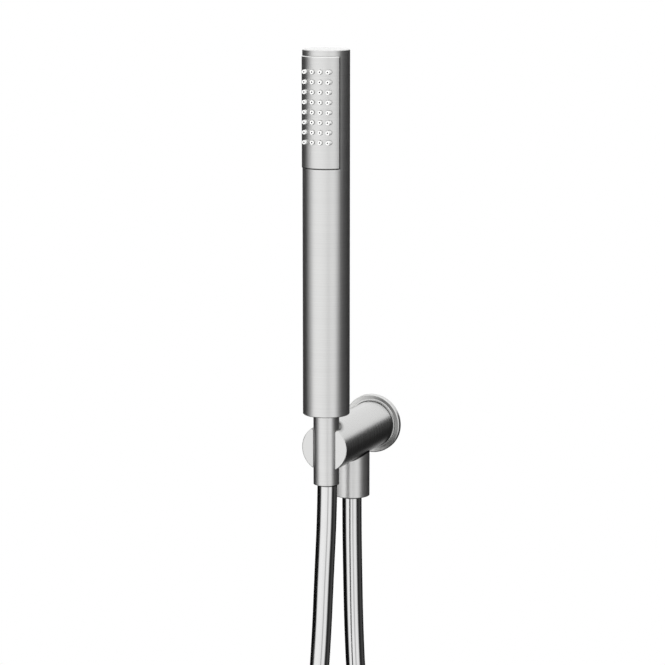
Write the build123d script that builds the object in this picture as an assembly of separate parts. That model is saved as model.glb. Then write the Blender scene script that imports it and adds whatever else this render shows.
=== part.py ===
# Hand shower kit for a wall: a stick hand shower stands in the slotted end of a wall outlet arm,
# and a smooth hose runs from the arm's outlet spout back up into the stem of the hand shower.
# Millimetres. The origin is on the wall, at the middle of the cover flange. The arm runs out along -Y,
# the hand shower stands along +Z, and the wall thread runs into the wall along +Y.

from build123d import *
import math
import os

# Wall nipple and cover flange
THREAD_R = 10.48
THREAD_LENGTH = 15.0
THREAD_LEAD = 1.0
SPIGOT_R = 10.2
NIPPLE_REACH = 23.0
NIPPLE_STEP = 3.0
NIPPLE_STEP_R = 8.9
NIPPLE_BORE_R = 6.0
KEY_FLATS = 12.0
KEY_DEPTH = 8.0
FLANGE_RIM = 4.2
FLANGE_THICK = 3.5
FLANGE_EDGE = 0.5
FLANGE_DISH = 0.75
COLLAR_WIDTH = 0.95
COLLAR_RISE = 0.6
FLANGE_GAP = 0.3
FLANGE_SEAL_WIDTH = 1.6
FLANGE_SEAL_THICK = 1.2

# Outlet arm
ARM_D = 30.9
ARM_BACK = 0.6
ARM_EDGE = 0.4
NIPPLE_GAP = 0.1
SEAL_GAP = 0.1
WATERWAY_R = 4.5
GRUB_R = 2.5
GRUB_REACH = 11.0
GRUB_KEY_FLATS = 2.5
GRUB_KEY_DEPTH = 2.2
GRUB_RECESS = 0.6

# Holder slot in the arm's end
STEM_REACH = 81.0
STEM_COVER = 3.7
SLOT_GAP = 0.2
SLOT_LEAD_DEPTH = 4.0
LINER_GAP = 0.1
LINER_WALL = 1.3
LINER_HEIGHT = 15.0
LINER_FRONT_COVER = 1.4

# Outlet spout and the hose end in it
OUTLET_REACH = 38.0
SPOUT_D = 23.4
SPOUT_DROP = 40.75
SPOUT_ROOT = 4.0
SPOUT_INLET_DEPTH = 10.0
SPOUT_INLET_R = 5.0
PRESS_GAP = 0.03
END_THREAD_R = 8.3
END_THREAD_LENGTH = 8.0
WASHER_THICK = 2.0
WASHER_BORE_R = 4.5

# Hose and its crimped ends
HOSE_D = 12.9
HOSE_BORE = 8.0
HOSE_SIDES = 12
TAIL_BORE_R = 2.8
TAIL_BARB_LENGTH = 20.0
TAIL_GAP = 0.05
CRIMP_WALL = 0.6
CRIMP_LENGTH = 12.0
CRIMP_SETBACK = 2.0
COIL_R = 62.0
COIL_CENTRE_Y = -72.0
COIL_CENTRE_Z = -312.0
COIL_STRANDS = 3.6
COIL_PITCH = 13.3
COIL_TURNS = 2.625
COIL_LEAD_ANGLE = 22.5
LEG_ARC_SHARE = 0.45
TIE_WALL = 1.2
TIE_WIDTH = 6.0
TIE_GAP = 0.2

# Stem, swivel and inlet of the hand shower
STEM_D = 16.6
STEM_WALL = 1.1
STEM_DROP = 23.6
STEM_THREAD = 11.0
SWIVEL_COLLAR_THICK = 1.8
SWIVEL_COLLAR_GAP = 0.35
SWIVEL_SEAL_THICK = 1.2
SWIVEL_RUN = 0.1
SWIVEL_SPIGOT_R = 5.0
SWIVEL_SPIGOT_LENGTH = 8.0
BUSH_LENGTH = 34.0
BUSH_RECESS = 0.8
SLIDE_GAP = 0.08

# Handle, end cap and water tube
HANDLE_D = 30.0
HANDLE_LENGTH = 232.35
HANDLE_WALL = 1.5
HANDLE_RISE = 22.5
HANDLE_EDGE = 0.4
CAP_THICK = 2.5
TUBE_R = 6.0
TUBE_WALL = 1.4
TUBE_SOCKET = 8.0
LIMITER_THICK = 2.0
LIMITER_HOLE_R = 1.6

# Spray plate, nozzle mat and spray chamber
PANEL_HEIGHT = 70.3
PANEL_WIDTH = 25.4
PANEL_CORNER_R = 0.8
PANEL_FROM_TOP = 3.8
PANEL_PROUD = 0.75
PANEL_THICK = 1.6
PANEL_EDGE = 0.45
PANEL_GAP = 0.12
MAT_THICK = 1.2
MAT_MARGIN = 2.4
NOZZLE_COLUMNS = 4
NOZZLE_ROWS = 8
NOZZLE_PITCH_X = 5.3
NOZZLE_PITCH_Z = 6.26
NOZZLE_FIRST_ROW = 9.45
NOZZLE_TIP_REACH = 16.9
NOZZLE_R = 1.35
NOZZLE_HOLE_R = 0.45
NOZZLE_CLEAR = 0.1
NOZZLE_SIDES = 8
NOZZLE_HOLE_SIDES = 6
CHAMBER_WALL = 1.4
CHAMBER_BACK = 3.0

# Sizes that follow from the driving ones
ARM_R = ARM_D / 2
ARM_FRONT = STEM_REACH + STEM_COVER
FLANGE_R = ARM_R + FLANGE_RIM
STEM_R = STEM_D / 2
SLOT_R = STEM_R + SLOT_GAP
LINER_R = STEM_R + LINER_GAP
HOSE_R = HOSE_D / 2
CRIMP_R = HOSE_R + TAIL_GAP + CRIMP_WALL
HANDLE_R = HANDLE_D / 2
HANDLE_BORE_R = HANDLE_R - HANDLE_WALL
HANDLE_TOP = HANDLE_RISE + HANDLE_LENGTH
STEM_TOP = HANDLE_RISE + BUSH_RECESS + STEM_THREAD
COLLAR_BOTTOM = STEM_TOP + SWIVEL_RUN
COLLAR_TOP = COLLAR_BOTTOM + SWIVEL_COLLAR_THICK
BUSH_SHOULDER = COLLAR_TOP + SWIVEL_SEAL_THICK + SWIVEL_RUN
BUSH_BOTTOM = HANDLE_RISE + BUSH_RECESS
BUSH_TOP = BUSH_BOTTOM + BUSH_LENGTH
HOSE_TOP = STEM_TOP - CRIMP_SETBACK
PLATE_R = HANDLE_R + PANEL_PROUD
PLATE_BACK_R = PLATE_R - PANEL_THICK
PANEL_TOP = HANDLE_TOP - PANEL_FROM_TOP
PANEL_MIDDLE = PANEL_TOP - PANEL_HEIGHT / 2
MAT_HALF_WIDTH = PANEL_WIDTH / 2 - MAT_MARGIN
MAT_HEIGHT = PANEL_HEIGHT - 2 * MAT_MARGIN
MAT_STEP = NOZZLE_PITCH_X * NOZZLE_COLUMNS / 4
NOZZLE_MIDDLE = PANEL_TOP - NOZZLE_FIRST_ROW - NOZZLE_PITCH_Z * (NOZZLE_ROWS - 1) / 2
SPOUT_TOP = -SPOUT_ROOT
WASHER_TOP = SPOUT_TOP - SPOUT_INLET_DEPTH
TAIL_TOP = WASHER_TOP - WASHER_THICK
OUTLET_HOSE_TOP = TAIL_TOP - END_THREAD_LENGTH
NIPPLE_POCKET = NIPPLE_REACH + SEAL_GAP


def upright(profile, reach=0.0):
    """A turned piece about a vertical axis, from (radius, height) points."""
    face = make_face(Polyline([(r, 0, z) for r, z in profile], close=True))
    return Pos(0, -reach, 0) * revolve(face, Axis.Z)


def lying(profile):
    """A turned piece about the arm's axis, from (radius, distance from the wall) points."""
    face = make_face(Polyline([(r, -d, 0) for r, d in profile], close=True))
    return revolve(face, Axis.Y)


def ring(inner, outer, bottom, top):
    """The profile of a plain ring."""
    return [(inner, bottom), (outer, bottom), (outer, top), (inner, top)]


def upright_bore(radius, bottom, top, reach):
    """A round cut along a vertical axis."""
    return Pos(0, -reach, (bottom + top) / 2) * Cylinder(radius, top - bottom)


# Wall side


def wall_nipple():
    lead = THREAD_R - THREAD_LEAD
    step = NIPPLE_REACH - NIPPLE_STEP
    profile = [(NIPPLE_BORE_R, -THREAD_LENGTH), (lead, -THREAD_LENGTH)]
    profile += [(THREAD_R, THREAD_LEAD - THREAD_LENGTH), (THREAD_R, 0)]
    profile += [(SPIGOT_R, 0), (SPIGOT_R, step), (NIPPLE_STEP_R, step)]
    profile += [(NIPPLE_STEP_R, NIPPLE_REACH), (NIPPLE_BORE_R, NIPPLE_REACH)]
    key = RegularPolygon(KEY_FLATS / 2, 6, major_radius=False)
    socket = extrude(Plane((0, -NIPPLE_REACH, 0), z_dir=(0, 1, 0)) * key, KEY_DEPTH)
    return lying(profile) - socket


def nipple_seal():
    inner = NIPPLE_STEP_R + PRESS_GAP
    return lying(ring(inner, SPIGOT_R, NIPPLE_REACH - NIPPLE_STEP, NIPPLE_REACH))


def cover_flange():
    bore = ARM_R + FLANGE_GAP
    collar = bore + COLLAR_WIDTH
    collar_top = FLANGE_THICK + COLLAR_RISE
    seat = ARM_R + FLANGE_SEAL_WIDTH
    depth = ARM_BACK + FLANGE_SEAL_THICK
    profile = [(seat, 0), (FLANGE_R, 0), (FLANGE_R, FLANGE_THICK - FLANGE_EDGE)]
    profile += [(FLANGE_R - FLANGE_EDGE, FLANGE_THICK), (collar, FLANGE_THICK - FLANGE_DISH)]
    profile += [(collar, collar_top), (bore, collar_top), (bore, depth), (seat, depth)]
    return lying(profile)


def flange_seal():
    outer = ARM_R + FLANGE_SEAL_WIDTH - PRESS_GAP
    return lying(ring(ARM_R + PRESS_GAP, outer, ARM_BACK, ARM_BACK + FLANGE_SEAL_THICK - PRESS_GAP))


def arm_grub_screw():
    tip = -SPIGOT_R - PRESS_GAP
    head = -ARM_R + GRUB_RECESS
    key = RegularPolygon(GRUB_KEY_FLATS / 2, 6, major_radius=False)
    screw = upright_bore(GRUB_R - PRESS_GAP, head, tip, GRUB_REACH)
    return screw - extrude(Pos(0, -GRUB_REACH, head) * key, GRUB_KEY_DEPTH)


# Outlet arm and spout


def liner_sector(inner, outer, height):
    """A ring round the stem that stops behind the arm's front face."""
    front = ARM_FRONT - LINER_FRONT_COVER
    band = upright(ring(inner, outer, -height / 2, height / 2), STEM_REACH)
    grow_back = (Align.CENTER, Align.MIN, Align.CENTER)
    keep = Box(4 * outer, 4 * outer, 2 * height, align=grow_back)
    return band & (Pos(0, -front, 0) * keep)


def outlet_arm():
    bar = [(0, ARM_BACK), (ARM_R, ARM_BACK), (ARM_R, ARM_FRONT - ARM_EDGE)]
    bar += [(ARM_R - ARM_EDGE, ARM_FRONT), (0, ARM_FRONT)]
    pocket = lying(ring(0, SPIGOT_R + NIPPLE_GAP, 0, NIPPLE_POCKET))
    channel = lying(ring(0, WATERWAY_R, 0, OUTLET_REACH + WATERWAY_R))
    slot = upright_bore(SLOT_R, -ARM_D, ARM_D, STEM_REACH)
    lead_bottom = ARM_R - SLOT_LEAD_DEPTH
    lead_r = SLOT_R + SLOT_LEAD_DEPTH
    lead = upright([(0, lead_bottom), (SLOT_R, lead_bottom), (lead_r, ARM_R), (0, ARM_R)], STEM_REACH)
    groove = liner_sector(STEM_R, LINER_R + LINER_WALL + PRESS_GAP, LINER_HEIGHT + 2 * PRESS_GAP)
    spout_seat = upright_bore(SPOUT_D / 2 + PRESS_GAP, -ARM_D, SPOUT_TOP, OUTLET_REACH)
    drop = upright_bore(SPOUT_INLET_R, SPOUT_TOP, 0, OUTLET_REACH)
    grub_hole = upright_bore(GRUB_R, -ARM_D, -SPIGOT_R, GRUB_REACH)
    return lying(bar) - [pocket, channel, slot, lead, groove, spout_seat, drop, grub_hole]


def holder_liner():
    return liner_sector(LINER_R, LINER_R + LINER_WALL, LINER_HEIGHT)


def outlet_spout():
    outer = SPOUT_D / 2
    bore = END_THREAD_R + TAIL_GAP
    profile = [(SPOUT_INLET_R, SPOUT_TOP), (outer, SPOUT_TOP), (outer, -SPOUT_DROP), (bore, -SPOUT_DROP)]
    profile += [(bore, WASHER_TOP), (SPOUT_INLET_R, WASHER_TOP)]
    return upright(profile, OUTLET_REACH)


# Hose ends


def hose_end_washer():
    return upright(ring(WASHER_BORE_R, END_THREAD_R, TAIL_TOP, WASHER_TOP), OUTLET_REACH)


def outlet_hose_tail():
    barb = HOSE_BORE / 2 - TAIL_GAP
    profile = [(TAIL_BORE_R, TAIL_TOP), (END_THREAD_R, TAIL_TOP), (END_THREAD_R, OUTLET_HOSE_TOP)]
    profile += [(barb, OUTLET_HOSE_TOP), (barb, OUTLET_HOSE_TOP - TAIL_BARB_LENGTH)]
    profile += [(TAIL_BORE_R, OUTLET_HOSE_TOP - TAIL_BARB_LENGTH)]
    return upright(profile, OUTLET_REACH)


def outlet_crimp():
    top = OUTLET_HOSE_TOP - CRIMP_SETBACK
    return upright(ring(HOSE_R + TAIL_GAP, CRIMP_R, top - CRIMP_LENGTH, top), OUTLET_REACH)


def handset_hose_tail():
    barb = HOSE_BORE / 2 - TAIL_GAP
    collar = STEM_R - SWIVEL_COLLAR_GAP
    spigot_top = COLLAR_TOP + SWIVEL_SPIGOT_LENGTH
    profile = [(TAIL_BORE_R, HOSE_TOP - TAIL_BARB_LENGTH), (barb, HOSE_TOP - TAIL_BARB_LENGTH)]
    profile += [(barb, COLLAR_BOTTOM), (collar, COLLAR_BOTTOM), (collar, COLLAR_TOP)]
    profile += [(SWIVEL_SPIGOT_R, COLLAR_TOP), (SWIVEL_SPIGOT_R, spigot_top), (TAIL_BORE_R, spigot_top)]
    return upright(profile, STEM_REACH)


def handset_crimp():
    top = HOSE_TOP - CRIMP_SETBACK
    return upright(ring(HOSE_R + TAIL_GAP, CRIMP_R, top - CRIMP_LENGTH, top), STEM_REACH)


def swivel_seal():
    inner = SWIVEL_SPIGOT_R + PRESS_GAP
    outer = STEM_R - SWIVEL_COLLAR_GAP
    return upright(ring(inner, outer, COLLAR_TOP, COLLAR_TOP + SWIVEL_SEAL_THICK), STEM_REACH)


# Hose, wound up below the stem as for storage and held by a tie
COIL_END_X = COIL_PITCH * COIL_TURNS / 2
COIL_END_Y = COIL_R * math.cos(math.radians(COIL_LEAD_ANGLE))
COIL_END_Z = COIL_CENTRE_Z + COIL_R * math.sin(math.radians(COIL_LEAD_ANGLE))
HANDSET_LEG = [
    (0, -STEM_REACH, HOSE_TOP),
    (0, -STEM_REACH, -40),
    (-1.7, -81, -85),
    (-3.4, -81.4, -130),
    (-5.9, -84, -175),
    (-9, -98, -218),
    (-13.5, -117.5, -254),
    (-COIL_END_X, COIL_CENTRE_Y - COIL_END_Y, COIL_END_Z),
]
OUTLET_LEG = [
    (0, -OUTLET_REACH, OUTLET_HOSE_TOP),
    (0, -OUTLET_REACH, -60),
    (0.4, -38, -85),
    (1.3, -37.6, -130),
    (2.4, -35, -175),
    (7.5, -27.5, -218),
    (12.8, -20.5, -254),
    (COIL_END_X, COIL_CENTRE_Y + COIL_END_Y, COIL_END_Z),
]


def hose_leg(points):
    """A hollow stretch of hose along straight runs joined by arcs as large as the runs allow."""
    corners = [Vector(*p) for p in points]
    radii = []
    for before, here, after in zip(corners, corners[1:], corners[2:]):
        arriving = here - before
        leaving = after - here
        half_turn = math.radians(arriving.get_angle(leaving)) / 2
        radii.append(LEG_ARC_SHARE * min(arriving.length, leaving.length) / math.tan(half_turn))
    print("hose arc radii", [round(r) for r in radii])
    path = FilletPolyline(*corners, radius=radii)
    bore = RegularPolygon(HOSE_BORE / 2, HOSE_SIDES, major_radius=False)
    wall = RegularPolygon(HOSE_R, HOSE_SIDES) - bore
    return sweep(Plane(corners[0], z_dir=(0, 0, -1)) * wall, path=path)


def handset_hose_leg():
    return hose_leg(HANDSET_LEG)


def outlet_hose_leg():
    return hose_leg(OUTLET_LEG)


def hose_coil():
    width = COIL_STRANDS * COIL_PITCH
    band = Plane.YZ * (Circle(COIL_R + HOSE_R) - Circle(COIL_R - HOSE_R))
    return Pos(0, COIL_CENTRE_Y, COIL_CENTRE_Z) * extrude(band, width / 2, both=True)


def hose_tie():
    width = COIL_STRANDS * COIL_PITCH + 2 * TIE_GAP
    thick = HOSE_D + 2 * TIE_GAP
    loop = Rectangle(width + 2 * TIE_WALL, thick + 2 * TIE_WALL) - Rectangle(width, thick)
    middle = Plane((0, COIL_CENTRE_Y, COIL_CENTRE_Z - COIL_R), z_dir=(0, 1, 0), x_dir=(1, 0, 0))
    return extrude(middle * loop, TIE_WIDTH / 2, both=True)


# Hand shower


def stem_sleeve():
    return upright(ring(STEM_R - STEM_WALL, STEM_R, -STEM_DROP, STEM_TOP), STEM_REACH)


def inlet_bush():
    outer = HANDLE_BORE_R - SLIDE_GAP
    thread = STEM_R + PRESS_GAP
    spigot = SWIVEL_SPIGOT_R + SWIVEL_RUN
    socket = TUBE_R + SLIDE_GAP
    socket_floor = BUSH_TOP - TUBE_SOCKET - LIMITER_THICK
    profile = [(thread, BUSH_BOTTOM), (outer, BUSH_BOTTOM), (outer, BUSH_TOP), (socket, BUSH_TOP)]
    profile += [(socket, socket_floor), (spigot, socket_floor)]
    profile += [(spigot, BUSH_SHOULDER), (thread, BUSH_SHOULDER)]
    return upright(profile, STEM_REACH)


def flow_limiter():
    floor = BUSH_TOP - TUBE_SOCKET - LIMITER_THICK
    return upright(ring(LIMITER_HOLE_R, TUBE_R, floor, floor + LIMITER_THICK), STEM_REACH)


def water_tube():
    bottom = BUSH_TOP - TUBE_SOCKET
    top = PANEL_TOP - PANEL_HEIGHT + TUBE_SOCKET
    return upright(ring(TUBE_R - TUBE_WALL, TUBE_R, bottom, top), STEM_REACH)


def panel_block(width, height, corner, holes=0.0):
    """A block in front of the handle's axis with the panel's rounded outline, and nozzle holes if asked."""
    outline = RectangleRounded(width, height, corner)
    if holes > 0:
        shift = Pos(0, NOZZLE_MIDDLE - PANEL_MIDDLE)
        grid = GridLocations(NOZZLE_PITCH_X, NOZZLE_PITCH_Z, NOZZLE_COLUMNS, NOZZLE_ROWS)
        outline -= shift * grid * RegularPolygon(holes, NOZZLE_SIDES, major_radius=False)
    front = Plane((0, -STEM_REACH, PANEL_MIDDLE), x_dir=(1, 0, 0), z_dir=(0, -1, 0))
    return extrude(front * outline, HANDLE_D)


def handle_tube():
    edge = HANDLE_EDGE
    profile = [(HANDLE_BORE_R, HANDLE_RISE), (HANDLE_R - edge, HANDLE_RISE), (HANDLE_R, HANDLE_RISE + edge)]
    profile += [(HANDLE_R, HANDLE_TOP - edge), (HANDLE_R - edge, HANDLE_TOP), (HANDLE_BORE_R, HANDLE_TOP)]
    width = PANEL_WIDTH + 2 * PANEL_GAP
    height = PANEL_HEIGHT + 2 * PANEL_GAP
    return upright(profile, STEM_REACH) - panel_block(width, height, PANEL_CORNER_R + PANEL_GAP)


def end_cap():
    return upright(ring(0, HANDLE_BORE_R - PRESS_GAP, HANDLE_TOP - CAP_THICK, HANDLE_TOP), STEM_REACH)


def spray_plate():
    outline = panel_block(PANEL_WIDTH, PANEL_HEIGHT, PANEL_CORNER_R, NOZZLE_R + NOZZLE_CLEAR)
    bottom = PANEL_TOP - PANEL_HEIGHT
    edge = PLATE_R - PANEL_EDGE
    profile = [(PLATE_BACK_R, bottom), (edge, bottom), (PLATE_R, bottom + PANEL_EDGE)]
    profile += [(PLATE_R, PANEL_TOP - PANEL_EDGE), (edge, PANEL_TOP), (PLATE_BACK_R, PANEL_TOP)]
    return upright(profile, STEM_REACH) & outline


def mat_land(half_width):
    """How far a flat land of the mat stands in front of the handle's axis, just under the curved plate."""
    reach = PLATE_BACK_R - PRESS_GAP
    return math.sqrt(reach ** 2 - half_width ** 2)


def mat_profile():
    """The mat's stepped section: one flat land for the inner columns and a lower one on each side."""
    inner = mat_land(MAT_STEP)
    outer = mat_land(MAT_HALF_WIDTH)
    back_step = MAT_STEP - MAT_THICK
    left = [(-MAT_HALF_WIDTH, MAT_THICK - outer), (-MAT_HALF_WIDTH, -outer)]
    left += [(-MAT_STEP, -outer), (-MAT_STEP, -inner)]
    right = [(-x, y) for x, y in reversed(left)]
    back = [(back_step, MAT_THICK - outer), (back_step, MAT_THICK - inner)]
    return left + right + back + [(-x, y) for x, y in reversed(back)]


def nozzle_mat():
    section = make_face(Polyline(mat_profile(), close=True))
    sheet = Pos(0, -STEM_REACH, PANEL_MIDDLE - MAT_HEIGHT / 2) * extrude(section, MAT_HEIGHT)
    nozzles = []
    holes = []
    for place in GridLocations(NOZZLE_PITCH_X, NOZZLE_PITCH_Z, NOZZLE_COLUMNS, NOZZLE_ROWS):
        x = place.position.X
        z = NOZZLE_MIDDLE + place.position.Y
        land = mat_land(MAT_STEP if abs(x) < MAT_STEP else MAT_HALF_WIDTH)
        foot = Plane((x, -STEM_REACH - land, z), x_dir=(1, 0, 0), z_dir=(0, -1, 0))
        nozzles.append(extrude(foot * RegularPolygon(NOZZLE_R, NOZZLE_SIDES), NOZZLE_TIP_REACH - land))
        holes.append(extrude(foot * RegularPolygon(NOZZLE_HOLE_R, NOZZLE_HOLE_SIDES), HANDLE_R, both=True))
    return sheet + nozzles - holes


def spray_chamber():
    bottom = PANEL_TOP - PANEL_HEIGHT
    body = upright(ring(0, HANDLE_BORE_R - SLIDE_GAP, bottom, PANEL_TOP), STEM_REACH)
    grow_front = (Align.CENTER, Align.MAX, Align.CENTER)
    ledge = MAT_THICK - mat_land(MAT_HALF_WIDTH)
    mat_room = Box(2 * (MAT_HALF_WIDTH + PRESS_GAP), HANDLE_R, MAT_HEIGHT + 2 * PRESS_GAP, align=grow_front)
    socket_top = bottom + TUBE_SOCKET
    floor = socket_top + CHAMBER_WALL
    roof = PANEL_TOP - MAT_MARGIN - CHAMBER_WALL
    cavity = Box(2 * (MAT_HALF_WIDTH - CHAMBER_WALL), HANDLE_D, roof - floor, align=grow_front)
    socket = upright_bore(TUBE_R + SLIDE_GAP, bottom, socket_top, STEM_REACH)
    passage = upright_bore(TUBE_R - TUBE_WALL, bottom, roof, STEM_REACH)
    body -= Pos(0, ledge - STEM_REACH, PANEL_MIDDLE) * mat_room
    body -= Pos(0, CHAMBER_BACK - STEM_REACH, (floor + roof) / 2) * cavity
    return body - [socket, passage]


PIECES = [
    wall_nipple,
    nipple_seal,
    cover_flange,
    flange_seal,
    arm_grub_screw,
    outlet_arm,
    holder_liner,
    outlet_spout,
    hose_end_washer,
    outlet_hose_tail,
    outlet_crimp,
    outlet_hose_leg,
    hose_coil,
    hose_tie,
    handset_hose_leg,
    handset_crimp,
    handset_hose_tail,
    swivel_seal,
    stem_sleeve,
    inlet_bush,
    flow_limiter,
    water_tube,
    handle_tube,
    end_cap,
    spray_plate,
    nozzle_mat,
    spray_chamber,
]

os.makedirs("parts", exist_ok=True)
for piece in PIECES:
    export_step(piece(), "parts/" + piece.__name__ + ".step")
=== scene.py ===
# Looks for the hand shower kit: brushed steel, a smooth silver hose, white silicone nozzles and a bright
# studio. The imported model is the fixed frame. Named sizes are in metres, and named angles in degrees.

import math

import bpy
from mathutils import Matrix, Vector


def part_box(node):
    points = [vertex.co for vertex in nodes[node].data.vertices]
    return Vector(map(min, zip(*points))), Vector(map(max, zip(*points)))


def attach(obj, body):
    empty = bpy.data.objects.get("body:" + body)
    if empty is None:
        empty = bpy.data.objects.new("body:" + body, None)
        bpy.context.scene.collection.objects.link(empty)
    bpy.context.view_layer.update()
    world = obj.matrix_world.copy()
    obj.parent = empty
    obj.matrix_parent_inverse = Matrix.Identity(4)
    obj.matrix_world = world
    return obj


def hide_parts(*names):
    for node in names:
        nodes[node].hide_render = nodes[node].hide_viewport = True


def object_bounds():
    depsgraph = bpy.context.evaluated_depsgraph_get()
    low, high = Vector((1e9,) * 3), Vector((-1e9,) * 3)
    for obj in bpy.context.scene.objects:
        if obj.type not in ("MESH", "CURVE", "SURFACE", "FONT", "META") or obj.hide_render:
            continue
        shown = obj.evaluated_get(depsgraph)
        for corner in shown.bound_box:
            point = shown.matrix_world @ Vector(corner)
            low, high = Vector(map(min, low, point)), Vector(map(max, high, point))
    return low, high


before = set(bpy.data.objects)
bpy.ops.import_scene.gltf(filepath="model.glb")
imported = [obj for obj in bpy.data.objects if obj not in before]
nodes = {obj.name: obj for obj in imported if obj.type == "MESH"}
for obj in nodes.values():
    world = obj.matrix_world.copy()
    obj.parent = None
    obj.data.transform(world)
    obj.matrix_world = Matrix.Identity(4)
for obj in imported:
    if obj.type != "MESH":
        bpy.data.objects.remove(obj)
cad_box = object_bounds()
scene = bpy.context.scene

# Places on the object
ORIGIN = (0, 0, 0)
ALONG_Y = (0, 1, 0)
ALONG_Z = (0, 0, 1)
STEM_Y = -0.081
STEM_MOUTH_Z = -0.0236
STEM_AXIS = (0, STEM_Y, 0.255)
SPOUT_Y = -0.038
SPOUT_MOUTH_Z = -0.04075
SPOUT_AXIS = (0, SPOUT_Y, 0)
ARM_R = 0.01545
SLOT_R = 0.00856
FLANGE_FACE_INNER_R = 0.0168
FLANGE_FACE_OUTER_R = 0.0191
NOZZLE_PITCH_X = 0.0053
NOZZLE_PITCH_Z = 0.00626
NOZZLE_ROW_Z = 0.2416
NOZZLE_BORE_R = 0.00047

# Viewpoint of the photograph
AZIMUTH = 22.827
PITCH = 10.42
DISTANCE = 1.6
FOCAL_PX = 2514.5
FRAME_PX = 665
SENSOR_MM = 36.0
TARGET_RIGHT = 0.00394
TARGET_Z = 0.075075
NEAREST_SEEN = 0.05
FARTHEST_SEEN = 20

azimuth = math.radians(AZIMUTH)
pitch = math.radians(PITCH)
facing_camera = Vector((math.sin(azimuth), -math.cos(azimuth), 0))
right = Vector((math.cos(azimuth), math.sin(azimuth), 0))
back = Vector((math.sin(azimuth) * math.cos(pitch), -math.cos(azimuth) * math.cos(pitch), math.sin(pitch)))
up = back.cross(right)
target = Vector((0, STEM_Y, TARGET_Z)) + right * TARGET_RIGHT
camera_data = bpy.data.cameras.new("camera")
camera_data.lens = SENSOR_MM * FOCAL_PX / FRAME_PX
camera_data.sensor_width = SENSOR_MM
camera_data.sensor_fit = "HORIZONTAL"
camera_data.clip_start = NEAREST_SEEN
camera_data.clip_end = FARTHEST_SEEN
camera = bpy.data.objects.new("camera", camera_data)
scene.collection.objects.link(camera)
camera_turn = Matrix((right, up, back)).transposed().to_4x4()
camera.matrix_world = Matrix.Translation(target + back * DISTANCE) @ camera_turn
scene.camera = camera


class ShaderTree:
    """Writes a node tree in few lines. A value is a number, a colour or the output of another node."""

    def __init__(self, node_tree):
        self.node_tree = node_tree
        node_tree.nodes.clear()

    def add(self, kind, links=(), **settings):
        node = self.node_tree.nodes.new("ShaderNode" + kind)
        for name, value in settings.items():
            setattr(node, name, value)
        for socket, value in dict(links).items():
            self.put(node.inputs[socket], value)
        return node

    def put(self, socket, value):
        if isinstance(value, bpy.types.NodeSocket):
            self.node_tree.links.new(value, socket)
        else:
            socket.default_value = value

    def math(self, operation, *values):
        return self.add("Math", enumerate(values), operation=operation).outputs[0]

    def vector(self, operation, *values):
        node = self.add("VectorMath", enumerate(values), operation=operation)
        return node.outputs["Value" if operation in ("DOT_PRODUCT", "LENGTH") else "Vector"]

    def parts(self, vector):
        return self.add("SeparateXYZ", {0: vector}).outputs

    def object_place(self):
        return self.add("TexCoord").outputs["Object"]

    def noise(self, place, scale, detail):
        return self.add("TexNoise", {"Vector": place, "Scale": scale, "Detail": detail}).outputs[0]

    def step(self, value, start, end):
        """A smooth step from 0 at the start to 1 at the end."""
        links = {"Value": value, "From Min": start, "From Max": end}
        return self.add("MapRange", links, interpolation_type="SMOOTHSTEP").outputs["Result"]

    def span(self, value, from_low, from_high, to_low, to_high):
        """A straight map from one range to another, held at both ends."""
        node = self.add("MapRange", {"Value": value, "From Min": from_low, "From Max": from_high})
        self.put(node.inputs["To Min"], to_low)
        self.put(node.inputs["To Max"], to_high)
        return node.outputs["Result"]

    def between(self, share, first, second):
        """A number between two others, by a share from 0 to 1."""
        return self.span(share, 0, 1, first, second)

    def blend(self, share, first, second):
        """A colour between two others, by a share from 0 to 1."""
        return self.add("Mix", {0: share, 6: first, 7: second}, data_type="RGBA").outputs[2]

    def ring(self, turn, half_turn, stops, peak):
        """A tone around a circle, as a share of its peak, from stops of degrees and tone."""
        ramp = self.add("ValToRGB", {"Fac": self.span(turn, -half_turn, half_turn, 0, 1)})
        marks = ramp.color_ramp.elements
        while len(marks) < len(stops):
            marks.new(0.5)
        for mark, (degrees, tone) in zip(marks, stops):
            mark.position = (degrees + 180) / 360
            mark.color = grey(tone / peak)
        return ramp.outputs[0]


def grey(tone):
    return (tone, tone, tone, 1)


def new_material(name):
    material = bpy.data.materials.new(name)
    material.use_nodes = True
    tree = ShaderTree(material.node_tree)
    shader = tree.add("BsdfPrincipled")
    tree.add("OutputMaterial", {"Surface": shader.outputs[0]})
    return material, tree, shader


# Shares of a noise's range that are spread over a range of tone or roughness
NOISE_NARROW = (0.3, 0.7)
NOISE_MEDIUM = (0.25, 0.75)
NOISE_WIDE = (0.2, 0.8)
BUMP_HEIGHT = 0.0001

# Brushed steel
STEEL_TONE = 0.56
STEEL_BLUE_SHARE = 0.992
STEEL_ROUGHNESS = 0.31
STEEL_ROUGHNESS_SPREAD = 0.02
STEEL_ANISOTROPY = 0.1
LINES_ALONG = 30000
LINES_ACROSS = 40
LINES_SCALE = 0.1
LINES_DETAIL = 2.0
LINES_TONE = 0.02
LINES_BUMP = 0.02
BANDS_ALONG = 1600
BANDS_ACROSS = 9
BANDS_SCALE = 1.0
BANDS_DETAIL = 3.0
BANDS_TONE = 0.012
RADIAL_WEIGHT = 200.0
SOFT_EDGE_R = 0.00025
SOFT_EDGE_SAMPLES = 4


def stretched(tree, place, axis, along, across):
    return tree.vector("MULTIPLY", place, tuple(along if part else across for part in axis))


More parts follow.
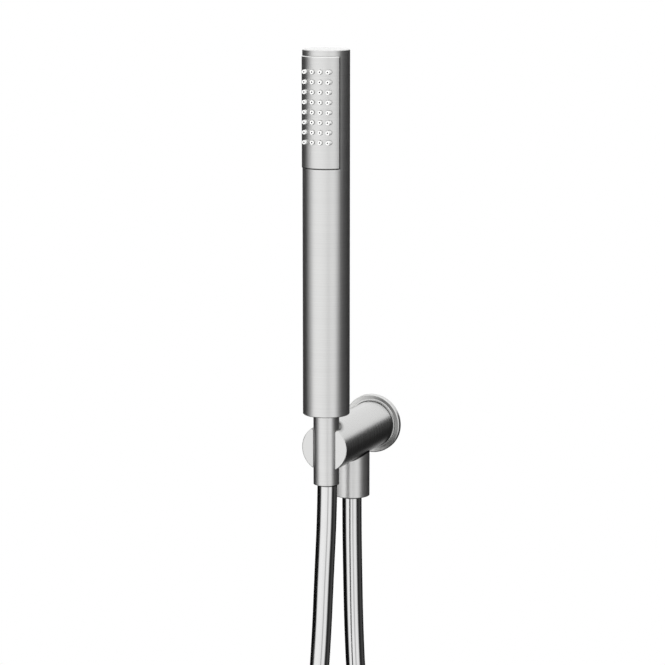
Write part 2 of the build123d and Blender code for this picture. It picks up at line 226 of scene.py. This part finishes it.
def brushed_steel(name, axis, centre, roughness=STEEL_ROUGHNESS, tone=STEEL_TONE, painted_shading=(),
                  soft_edges=True):
    """Satin steel with fine lines turned around an axis. Each piece of painted light and shade in the list
    gives a factor on its tone.
    """
    material, tree, shader = new_material(name)
    place = tree.object_place()
    normal = tree.add("NewGeometry").outputs["Normal"]
    lines = tree.noise(stretched(tree, place, axis, LINES_ALONG, LINES_ACROSS), LINES_SCALE, LINES_DETAIL)
    bands = tree.noise(stretched(tree, place, axis, BANDS_ALONG, BANDS_ACROSS), BANDS_SCALE, BANDS_DETAIL)
    fine = tree.span(lines, *NOISE_NARROW, -LINES_TONE, LINES_TONE)
    broad = tree.span(bands, *NOISE_NARROW, -BANDS_TONE, BANDS_TONE)
    red = tree.math("ADD", tree.math("ADD", fine, broad), tone)
    for shade in painted_shading:
        red = tree.math("MULTIPLY", red, shade(tree, place, normal))
    blue = tree.math("MULTIPLY", red, STEEL_BLUE_SHARE)
    tree.put(shader.inputs["Base Color"], tree.add("CombineColor", {0: red, 1: red, 2: blue}).outputs[0])
    smoothest = roughness - STEEL_ROUGHNESS_SPREAD
    roughest = roughness + STEEL_ROUGHNESS_SPREAD
    tree.put(shader.inputs["Roughness"], tree.span(bands, *NOISE_MEDIUM, smoothest, roughest))
    shader.inputs["Metallic"].default_value = 1.0
    shader.inputs["Anisotropic"].default_value = STEEL_ANISOTROPY
    end_on = tree.math("ABSOLUTE", tree.vector("DOT_PRODUCT", normal, axis))
    weight = tree.math("MULTIPLY", end_on, RADIAL_WEIGHT)
    outward = tree.vector("SUBTRACT", place, centre)
    outward = tree.add("VectorMath", {0: outward, "Scale": weight}, operation="SCALE").outputs[0]
    tree.put(shader.inputs["Tangent"], tree.vector("ADD", outward, axis))
    bump = tree.add("Bump", {"Strength": LINES_BUMP, "Distance": BUMP_HEIGHT, "Height": lines})
    if soft_edges:
        bevel = tree.add("Bevel", {"Radius": SOFT_EDGE_R}, samples=SOFT_EDGE_SAMPLES)
        tree.put(bump.inputs["Normal"], bevel.outputs[0])
    tree.put(shader.inputs["Normal"], bump.outputs[0])
    return material


# Painted shade, highlights and a painted reflection on the steel: factors on its tone, and where each
# begins and ends
SLOT_SHADE = 0.06
FACING_UP = (0.15, 0.4)
FACING_DOWN = (-0.45, -0.8)
CONTACT_SHADE = 0.4
CONTACT_OUTER = 0.0026
CONTACT_INNER = 0.0002
CONTACT_Y_SHARE = 0.7
CONTACT_FROM_STEM_Y = (-0.004, 0.0)
UNDERSIDE_SHADE = 0.25
UNDERSIDE_Y = (-0.036, -0.044)
JOINT_SHADE = 0.03
JOINT_NEAR = 0.0006
JOINT_FAR = 0.0012
# Painted shade along lower rims
RIM_SHADE = 0.3
RIM_FADE = 0.0004
# Painted highlight along an upper rim
TOP_RIM_HIGHLIGHT = 1.25
TOP_RIM_DEPTH = 0.0007
TOP_RIM_FADE = 0.0003
FACE_FADE = 0.0003
# Painted reflection on the flange's face, as stops of degrees and tone
FAN_REFLECTION_PEAK = 1.6
FAN_REFLECTION = [
    (-180, 1.2), (-120, 1.2), (-75, 1.3), (-40, 0.95), (-7, 0.85), (15, 0.7), (34, 0.5), (60, 0.45),
    (77, 0.7), (95, 1.1), (125, 1.5), (150, 1.4), (180, 1.2),
]


def from_stem(tree, place):
    return tree.vector("MULTIPLY", tree.vector("SUBTRACT", place, (0, STEM_Y, 0)), (1, 1, 0))


def from_arm_axis(tree, place):
    return tree.vector("LENGTH", tree.vector("MULTIPLY", place, (1, 0, 1)))


def slot_shade(tree, place, normal):
    """Painted shade inside the slot in the arm's end."""
    inside = tree.math("LESS_THAN", tree.vector("LENGTH", from_stem(tree, place)), SLOT_R)
    return tree.between(inside, 1, SLOT_SHADE)


def contact_shade(tree, place, normal):
    """Painted shade on the top of the arm close behind the stem, under the handle."""
    flat = from_stem(tree, place)
    away = tree.vector("LENGTH", tree.vector("MULTIPLY", flat, (1, CONTACT_Y_SHARE, 0)))
    beside = tree.step(away, SLOT_R + CONTACT_OUTER, SLOT_R + CONTACT_INNER)
    beside = tree.math("MULTIPLY", beside, tree.step(tree.parts(flat)[1], *CONTACT_FROM_STEM_Y))
    shaded = tree.math("MULTIPLY", beside, tree.step(tree.parts(normal)[2], *FACING_UP))
    return tree.between(shaded, 1, CONTACT_SHADE)


def underside_shade(tree, place, normal):
    """Painted shade on the arm's underside in front of the spout."""
    in_front = tree.step(tree.parts(place)[1], *UNDERSIDE_Y)
    shaded = tree.math("MULTIPLY", in_front, tree.step(tree.parts(normal)[2], *FACING_DOWN))
    return tree.between(shaded, 1, UNDERSIDE_SHADE)


def joint_shade(tree, place, normal):
    """Painted shade in a line on the spout where it meets the arm."""
    clear = tree.step(from_arm_axis(tree, place), ARM_R + JOINT_NEAR, ARM_R + JOINT_FAR)
    return tree.between(clear, JOINT_SHADE, 1)


def fan_reflection(tree, place, normal):
    """A painted reflection: a fan of lighter and darker tone around the flange's turned face."""
    across = tree.parts(place)
    turn = tree.math("ARCTAN2", across[2], across[0])
    painted_reflection = tree.math("MULTIPLY", tree.ring(turn, math.pi, FAN_REFLECTION, FAN_REFLECTION_PEAK), FAN_REFLECTION_PEAK)
    radius = from_arm_axis(tree, place)
    past_inner = tree.step(radius, FLANGE_FACE_INNER_R, FLANGE_FACE_INNER_R + FACE_FADE)
    before_outer = tree.step(radius, FLANGE_FACE_OUTER_R, FLANGE_FACE_OUTER_R - FACE_FADE)
    on_face = tree.math("MULTIPLY", past_inner, before_outer)
    change = tree.math("MULTIPLY", tree.math("SUBTRACT", painted_reflection, 1.0), on_face)
    return tree.math("ADD", change, 1.0)


def rim_shade(rim_z):
    """Painted shade along a lower rim, up to a height."""

    def shade(tree, place, normal):
        clear = tree.step(tree.parts(place)[2], rim_z, rim_z + RIM_FADE)
        return tree.between(clear, RIM_SHADE, 1)

    return shade


def top_rim_highlight(top_z):
    """A painted highlight along an upper rim, just under a height."""
    rim_z = top_z - TOP_RIM_DEPTH

    def shade(tree, place, normal):
        on_rim = tree.step(tree.parts(place)[2], rim_z, rim_z + TOP_RIM_FADE)
        return tree.between(on_rim, 1, TOP_RIM_HIGHLIGHT)

    return shade


# Moulded, turned and rubber surfaces
PLAIN_DETAIL = 4.0
PLAIN_ROUGHNESS_SPREAD = 0.05


def plain(name, colour, roughness, metallic=0.0, grain=600.0, bump=0.15, variation=0.06):
    """A plain surface with a fine grain."""
    material, tree, shader = new_material(name)
    noise = tree.noise(tree.object_place(), grain, PLAIN_DETAIL)
    darker = tuple(c * (1 - variation) for c in colour) + (1,)
    lighter = tuple(min(1.0, c * (1 + variation)) for c in colour) + (1,)
    tree.put(shader.inputs["Base Color"], tree.blend(noise, darker, lighter))
    smoothest = roughness - PLAIN_ROUGHNESS_SPREAD
    roughest = roughness + PLAIN_ROUGHNESS_SPREAD
    tree.put(shader.inputs["Roughness"], tree.span(noise, *NOISE_WIDE, smoothest, roughest))
    shader.inputs["Metallic"].default_value = metallic
    grained = tree.add("Bump", {"Strength": bump, "Distance": BUMP_HEIGHT, "Height": noise})
    tree.put(shader.inputs["Normal"], grained.outputs[0])
    return material


# White silicone of the nozzles
SILICONE_DARKER = (0.94, 0.94, 0.93, 1)
SILICONE_LIGHTER = (0.98, 0.98, 0.97, 1)
SILICONE_GRAIN = 1500.0
SILICONE_DETAIL = 3.0
SILICONE_ROUGHNESS = (0.45, 0.55)
# Painted shade in the nozzles' bores
BORE_SHADE = 0.015


def nozzle_silicone(name):
    """White silicone, with painted shade down the bores of the nozzles."""
    material, tree, shader = new_material(name)
    place = tree.object_place()
    noise = tree.noise(place, SILICONE_GRAIN, SILICONE_DETAIL)
    from_row = tree.vector("SUBTRACT", place, (0, 0, NOZZLE_ROW_Z))
    cell = tree.vector("DIVIDE", from_row, (NOZZLE_PITCH_X, 1, NOZZLE_PITCH_Z))
    cell = tree.vector("FRACTION", tree.vector("ADD", cell, (0, 0, 0.5)))
    offset = tree.vector("SUBTRACT", cell, (0.5, 0, 0.5))
    offset = tree.vector("MULTIPLY", offset, (NOZZLE_PITCH_X, 0, NOZZLE_PITCH_Z))
    bore = tree.math("LESS_THAN", tree.vector("LENGTH", offset), NOZZLE_BORE_R)
    skin = tree.blend(noise, SILICONE_DARKER, SILICONE_LIGHTER)
    tree.put(shader.inputs["Base Color"], tree.blend(bore, skin, grey(BORE_SHADE)))
    tree.put(shader.inputs["Roughness"], tree.span(noise, *NOISE_WIDE, *SILICONE_ROUGHNESS))
    return material


# Skin of the hose
FOIL_DARKER = 0.585
FOIL_LIGHTER = 0.615
FOIL_GRAIN = 90.0
FOIL_DETAIL = 2.0
FOIL_ROUGHNESS = (0.07, 0.1)
TUBE_COAT = 0.3
TUBE_COAT_ROUGHNESS = 0.03
# Painted shade on the hose just below the stem's and the spout's mouths
MOUTH_SHADE = 0.02
MOUTH_FADE = 0.0004
SPOUT_MOUTH_REACH = 0.0015
STEM_MOUTH_REACH = 0.0007
BETWEEN_LEGS_Y = -0.06


def hose_skin(name):
    """Silver foil under a clear smooth outer tube, with painted shade where it leaves the stem and the
    spout.
    """
    material, tree, shader = new_material(name)
    place = tree.object_place()
    noise = tree.noise(place, FOIL_GRAIN, FOIL_DETAIL)
    across = tree.parts(place)
    front = tree.math("LESS_THAN", across[1], BETWEEN_LEGS_Y)
    mouth = tree.between(front, SPOUT_MOUTH_Z, STEM_MOUTH_Z)
    reach = tree.between(front, SPOUT_MOUTH_REACH, STEM_MOUTH_REACH)
    below_mouth = tree.math("SUBTRACT", mouth, across[2])
    clear = tree.step(below_mouth, reach, tree.math("ADD", reach, MOUTH_FADE))
    foil = tree.blend(noise, grey(FOIL_DARKER), grey(FOIL_LIGHTER))
    tree.put(shader.inputs["Base Color"], tree.blend(clear, grey(MOUTH_SHADE), foil))
    tree.put(shader.inputs["Roughness"], tree.span(noise, *NOISE_WIDE, *FOIL_ROUGHNESS))
    shader.inputs["Metallic"].default_value = 1.0
    shader.inputs["Coat Weight"].default_value = TUBE_COAT
    shader.inputs["Coat Roughness"].default_value = TUBE_COAT_ROUGHNESS
    return material


# Materials of the pieces
SMALL_RIM = 0.0002
PLATE_RIM = 0.0006
plate_low, plate_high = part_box("spray_plate")
handle_low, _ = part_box("handle_tube")
# Painted shade on the steel pieces, and a painted highlight along the spray plate's top rim
handle_shades = [rim_shade(handle_low.z + SMALL_RIM)]
stem_shades = [rim_shade(STEM_MOUTH_Z)]
plate_shades = [rim_shade(plate_low.z + PLATE_RIM), top_rim_highlight(plate_high.z)]
arm_shades = [slot_shade, contact_shade, underside_shade]
spout_shades = [joint_shade, rim_shade(SPOUT_MOUTH_Z + SMALL_RIM)]
steel_handle = brushed_steel("steel_handle", ALONG_Z, STEM_AXIS, painted_shading=handle_shades, soft_edges=False)
steel_stem = brushed_steel("steel_stem", ALONG_Z, STEM_AXIS, painted_shading=stem_shades)
steel_plate = brushed_steel("steel_plate", ALONG_Z, STEM_AXIS, painted_shading=plate_shades)
steel_arm = brushed_steel("steel_arm", ALONG_Y, ORIGIN, roughness=0.28, painted_shading=arm_shades)
# The flange's face carries a painted reflection
steel_flange = brushed_steel("steel_flange", ALONG_Y, ORIGIN, tone=0.57, painted_shading=[fan_reflection])
steel_spout = brushed_steel("steel_spout", ALONG_Z, SPOUT_AXIS, roughness=0.33, painted_shading=spout_shades)
brass = plain("turned_brass", (0.72, 0.55, 0.27), 0.32, metallic=1.0, grain=900)
silicone = nozzle_silicone("white_silicone")
rubber = plain("seal_rubber", (0.025, 0.025, 0.026), 0.7)
nylon = plain("grey_nylon", (0.16, 0.16, 0.165), 0.5)
moulded = plain("inner_plastic", (0.78, 0.78, 0.75), 0.45)
dark_steel = plain("plain_steel", (0.5, 0.5, 0.5), 0.35, metallic=1.0, grain=900)
tie_plastic = plain("tie_plastic", (0.12, 0.12, 0.12), 0.5)
hose = hose_skin("hose_skin")

LOOKS = {
    steel_handle: ("handle_tube",),
    steel_stem: ("end_cap", "stem_sleeve"),
    steel_plate: ("spray_plate",),
    steel_arm: ("outlet_arm",),
    steel_flange: ("cover_flange",),
    steel_spout: ("outlet_spout",),
    brass: ("wall_nipple", "outlet_hose_tail", "handset_hose_tail", "inlet_bush"),
    silicone: ("nozzle_mat",),
    rubber: ("nipple_seal", "flange_seal", "hose_end_washer", "swivel_seal"),
    nylon: ("holder_liner", "flow_limiter"),
    moulded: ("water_tube", "spray_chamber"),
    dark_steel: ("arm_grub_screw", "outlet_crimp", "handset_crimp"),
    tie_plastic: ("hose_tie",),
    hose: ("handset_hose_leg", "hose_coil", "outlet_hose_leg"),
}
for material, names in LOOKS.items():
    for name in names:
        mesh = nodes[name].data
        mesh.materials.clear()
        mesh.materials.append(material)

# The flange is left out of the mirror images in the other pieces
nodes["cover_flange"].visible_glossy = False

# The hose: out of the stem, down the front, wound up below the picture, and back up into the outlet spout
HOSE_D = 0.0129
COIL_R = 0.062
COIL_PITCH = 0.0133
COIL_TURNS = 2.625
COIL_LEAD_ANGLE = 22.5
COIL_Y = -0.072
COIL_Z = -0.312
COIL_POINTS = 42
HANDSET_LEG = [
    (0.001, -0.081, 0.0),
    (0.0006, -0.0808, -0.04),
    (-0.0016, -0.081, -0.085),
    (-0.0034, -0.0814, -0.13),
    (-0.0059, -0.084, -0.175),
    (-0.009, -0.098, -0.218),
    (-0.0135, -0.1175, -0.254),
]
OUTLET_LEG = [
    (0.0128, -0.0205, -0.254),
    (0.0075, -0.0275, -0.218),
    (0.0024, -0.035, -0.175),
    (0.0013, -0.0376, -0.13),
    (0.0005, -0.038, -0.085),
    (0.0001, -0.038, -0.06),
    (0, -0.038, -0.024),
]
coil = []
for i in range(COIL_POINTS + 1):
    share = i / COIL_POINTS
    turn = 2 * math.pi * COIL_TURNS * share - math.radians(COIL_LEAD_ANGLE)
    x = COIL_PITCH * COIL_TURNS * (share - 0.5)
    coil.append((x, COIL_Y - COIL_R * math.cos(turn), COIL_Z - COIL_R * math.sin(turn)))
route = HANDSET_LEG + coil + OUTLET_LEG
curve = bpy.data.curves.new("hose", "CURVE")
curve.dimensions = "3D"
curve.bevel_depth = HOSE_D / 2
curve.bevel_resolution = 12
curve.resolution_u = 10
curve.use_fill_caps = True
spline = curve.splines.new("NURBS")
spline.points.add(len(route) - 1)
for point, place in zip(spline.points, route):
    point.co = (*place, 1)
spline.order_u = 3
spline.use_endpoint_u = True
spline.use_smooth = True
curve.materials.append(hose)
cord = bpy.data.objects.new("hose", curve)
scene.collection.objects.link(cord)
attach(cord, "wall_outlet")
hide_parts("handset_hose_leg", "hose_coil", "outlet_hose_leg")

# Two soft lamps: a small fill beside the outlet spout, and a tall strip that lights the steel from behind.
# A bearing is counted from the camera's side of the object, to the right.
FILL_MIDDLE = Vector((0, SPOUT_Y, -0.028))
FILL_SIZE = (0.06, 0.04)
FILL_WATTS = 0.005
STRIP_MIDDLE = Vector((0, -0.06, 0))
STRIP_SIZE = (0.6, 1.6)
STRIP_WATTS = 4.0
STRIP_PIECES = ("handle_tube", "stem_sleeve", "outlet_spout", "end_cap", "hose_tie")


def soft_lamp(name, middle, bearing, distance, drop, size, watts, pieces):
    """A rectangular lamp that faces its middle and lights only the given pieces."""
    data = bpy.data.lights.new(name, "AREA")
    data.shape = "RECTANGLE"
    data.size, data.size_y = size
    data.energy = watts
    lamp = bpy.data.objects.new(name, data)
    scene.collection.objects.link(lamp)
    turn = math.radians(bearing)
    toward = facing_camera * math.cos(turn) + right * math.sin(turn)
    lamp.location = middle + toward * distance - Vector((0, 0, drop))
    lamp.rotation_euler = (lamp.location - middle).to_track_quat("Z", "Y").to_euler()
    lamp.visible_camera = False
    receivers = bpy.data.collections.new(name + "_lights")
    for piece in pieces:
        receivers.objects.link(piece)
    lamp.light_linking.receiver_collection = receivers


soft_lamp("spout_fill", FILL_MIDDLE, bearing=-88, distance=0.12, drop=0.028, size=FILL_SIZE,
          watts=FILL_WATTS, pieces=[nodes["outlet_spout"]])
soft_lamp("back_strip", STRIP_MIDDLE, bearing=180, distance=1.5, drop=0.35, size=STRIP_SIZE,
          watts=STRIP_WATTS, pieces=[cord] + [nodes[name] for name in STRIP_PIECES])

# Plain pale floor, just under the coil and below the picture
FLOOR_R = 0.6
FLOOR_CORNERS = 64
FLOOR_GAP = 0.002
FLOOR_GRAIN = 40.0
FLOOR_DETAIL = 2.0
FLOOR_DARKER = 0.79
FLOOR_LIGHTER = 0.81
FLOOR_ROUGHNESS = 0.9
floor_z = cad_box[0][2] - FLOOR_GAP
rim = []
for i in range(FLOOR_CORNERS):
    turn = 2 * math.pi * i / FLOOR_CORNERS
    rim.append((FLOOR_R * math.cos(turn), STEM_Y + FLOOR_R * math.sin(turn), floor_z))
floor_mesh = bpy.data.meshes.new("floor")
floor_mesh.from_pydata(rim, [], [tuple(range(FLOOR_CORNERS))])
floor_material, floor_tree, floor_shader = new_material("pale_floor")
floor_noise = floor_tree.noise(floor_tree.object_place(), FLOOR_GRAIN, FLOOR_DETAIL)
floor_colour = floor_tree.blend(floor_noise, grey(FLOOR_DARKER), grey(FLOOR_LIGHTER))
floor_tree.put(floor_shader.inputs["Base Color"], floor_colour)
floor_shader.inputs["Roughness"].default_value = FLOOR_ROUGHNESS
floor_shader.inputs["Specular IOR Level"].default_value = 0.0
floor_mesh.materials.append(floor_material)
floor = bpy.data.objects.new("floor", floor_mesh)
scene.collection.objects.link(floor)
floor.visible_diffuse = False
floor.visible_glossy = False
floor.visible_shadow = False

# Studio: white all round for the eye, and in the steel a bright front with darker sides.
# Each ring of light has stops of bearing and brightness.
RING_PEAK = 1.5
UPPER_RING = [
    (-180, 0.05), (-150, 0.05), (-120, 0.03), (-98, 0.05), (-83, 0.62), (-69, 1.16), (-55, 1.32),
    (-38, 1.37), (-16, 1.32), (3, 1.26), (12, 1.19), (22, 1.22), (36, 1.24), (47, 1.17), (63, 0.63),
    (77, 0.15), (92, 0.06), (120, 0.03), (180, 0.03),
]
LEVEL_RING = [
    (-180, 0.05), (-150, 0.05), (-125, 0.03), (-112, 0.05), (-97, 0.72), (-84, 1.4), (-64, 1.45),
    (-38, 1.38), (-16, 1.32), (3, 1.26), (12, 1.2), (22, 1.24), (36, 1.26), (49, 1.23), (66, 0.66),
    (79, 0.15), (92, 0.05), (120, 0.03), (180, 0.03),
]
LOWER_RING = [
    (-180, 0.02), (-135, 0.008), (-81, 0.004), (-72, 0.75), (-66, 1.3), (-50, 1.33), (-34, 1.36),
    (-12, 1.28), (1, 1.22), (5, 0.86), (9, 0.55), (13, 0.8), (19, 1.2), (36, 1.26), (46, 1.14),
    (59, 0.04), (78, 0.03), (92, 0.08), (112, 0.08), (130, 0.008), (180, 0.005),
]
LOWEST_RING = [
    (-180, 0.03), (-130, 0.03), (-114, 1.2), (-95, 1.5), (-60, 1.45), (-40, 1.36), (0, 1.25),
    (34, 1.25), (42, 1.1), (55, 0.04), (120, 0.03), (180, 0.03),
]
# Heights in degrees over which one ring gives way to the next, from the ground up
GROUND_FADE = (-52, -32)
LOWER_FADE = (-33, -27)
LEVEL_FADE = (-12.3, -11.2)
UPPER_FADE = (-8.5, -5)
# Lights above and behind: the heights and bearings at which each sets in, and its brightness
CEILING_FADE = (7.5, 9.5)
CEILING_LIGHT = 1.14
ZENITH_FADE = (45, 65)
ZENITH_LIGHT = 0.35
REAR_BEARING = (160, 172)
REAR_FADE = (-1, 3)
REAR_LIGHT = 1.1
LOW_REAR_BEARING = (150, 175)
LOW_REAR_TOP = (-12, -24)
LOW_REAR_BOTTOM = (-62, -48)
LOW_REAR_LIGHT = 0.5
DEGREES = 180 / math.pi

world = bpy.data.worlds.new("studio")
scene.world = world
world.use_nodes = True
sky = ShaderTree(world.node_tree)
direction = sky.vector("NORMALIZE", sky.add("TexCoord").outputs["Generated"])
ahead = sky.vector("DOT_PRODUCT", direction, tuple(facing_camera))
aside = sky.vector("DOT_PRODUCT", direction, tuple(right))
rise = sky.vector("DOT_PRODUCT", direction, ALONG_Z)
bearing = sky.math("MULTIPLY", sky.math("ARCTAN2", aside, ahead), DEGREES)
height = sky.math("MULTIPLY", sky.math("ARCSINE", rise), DEGREES)


def ring_of_light(stops):
    return sky.ring(bearing, 180, stops, RING_PEAK)


around = sky.blend(sky.step(height, *UPPER_FADE), ring_of_light(LEVEL_RING), ring_of_light(UPPER_RING))
around = sky.blend(sky.step(height, *LEVEL_FADE), ring_of_light(LOWER_RING), around)
around = sky.blend(sky.step(height, *LOWER_FADE), ring_of_light(LOWEST_RING), around)
around = sky.math("MULTIPLY", around, RING_PEAK)
around = sky.math("MULTIPLY", around, sky.step(height, *GROUND_FADE))
ceiling = sky.math("MULTIPLY", sky.step(height, *CEILING_FADE), CEILING_LIGHT)
zenith = sky.math("MULTIPLY", sky.step(height, *ZENITH_FADE), ZENITH_LIGHT)
above = sky.math("ADD", ceiling, zenith)
turned = sky.math("ABSOLUTE", bearing)
rear = sky.math("MULTIPLY", sky.step(turned, *REAR_BEARING), sky.step(height, *REAR_FADE))
rear = sky.math("MULTIPLY", rear, REAR_LIGHT)
low_rear = sky.math("MULTIPLY", sky.step(turned, *LOW_REAR_BEARING), sky.step(height, *LOW_REAR_TOP))
low_rear = sky.math("MULTIPLY", low_rear, sky.step(height, *LOW_REAR_BOTTOM))
low_rear = sky.math("MULTIPLY", low_rear, LOW_REAR_LIGHT)
light = sky.math("MAXIMUM", sky.math("MAXIMUM", around, above), sky.math("MAXIMUM", rear, low_rear))
light_colour = sky.add("CombineColor", {0: light, 1: light, 2: light}).outputs[0]
lit = sky.add("Background", {"Color": light_colour, "Strength": 1.0}).outputs[0]
seen = sky.add("Background", {"Color": grey(1.0), "Strength": 1.0}).outputs[0]
to_camera = sky.add("LightPath").outputs["Is Camera Ray"]
mix = sky.add("MixShader", {0: to_camera, 1: lit, 2: seen}).outputs[0]
sky.add("OutputWorld", {"Surface": mix})

scene.view_settings.view_transform = "Standard"
scene.view_settings.look = "None"
scene.view_settings.exposure = 0
scene.view_settings.gamma = 1
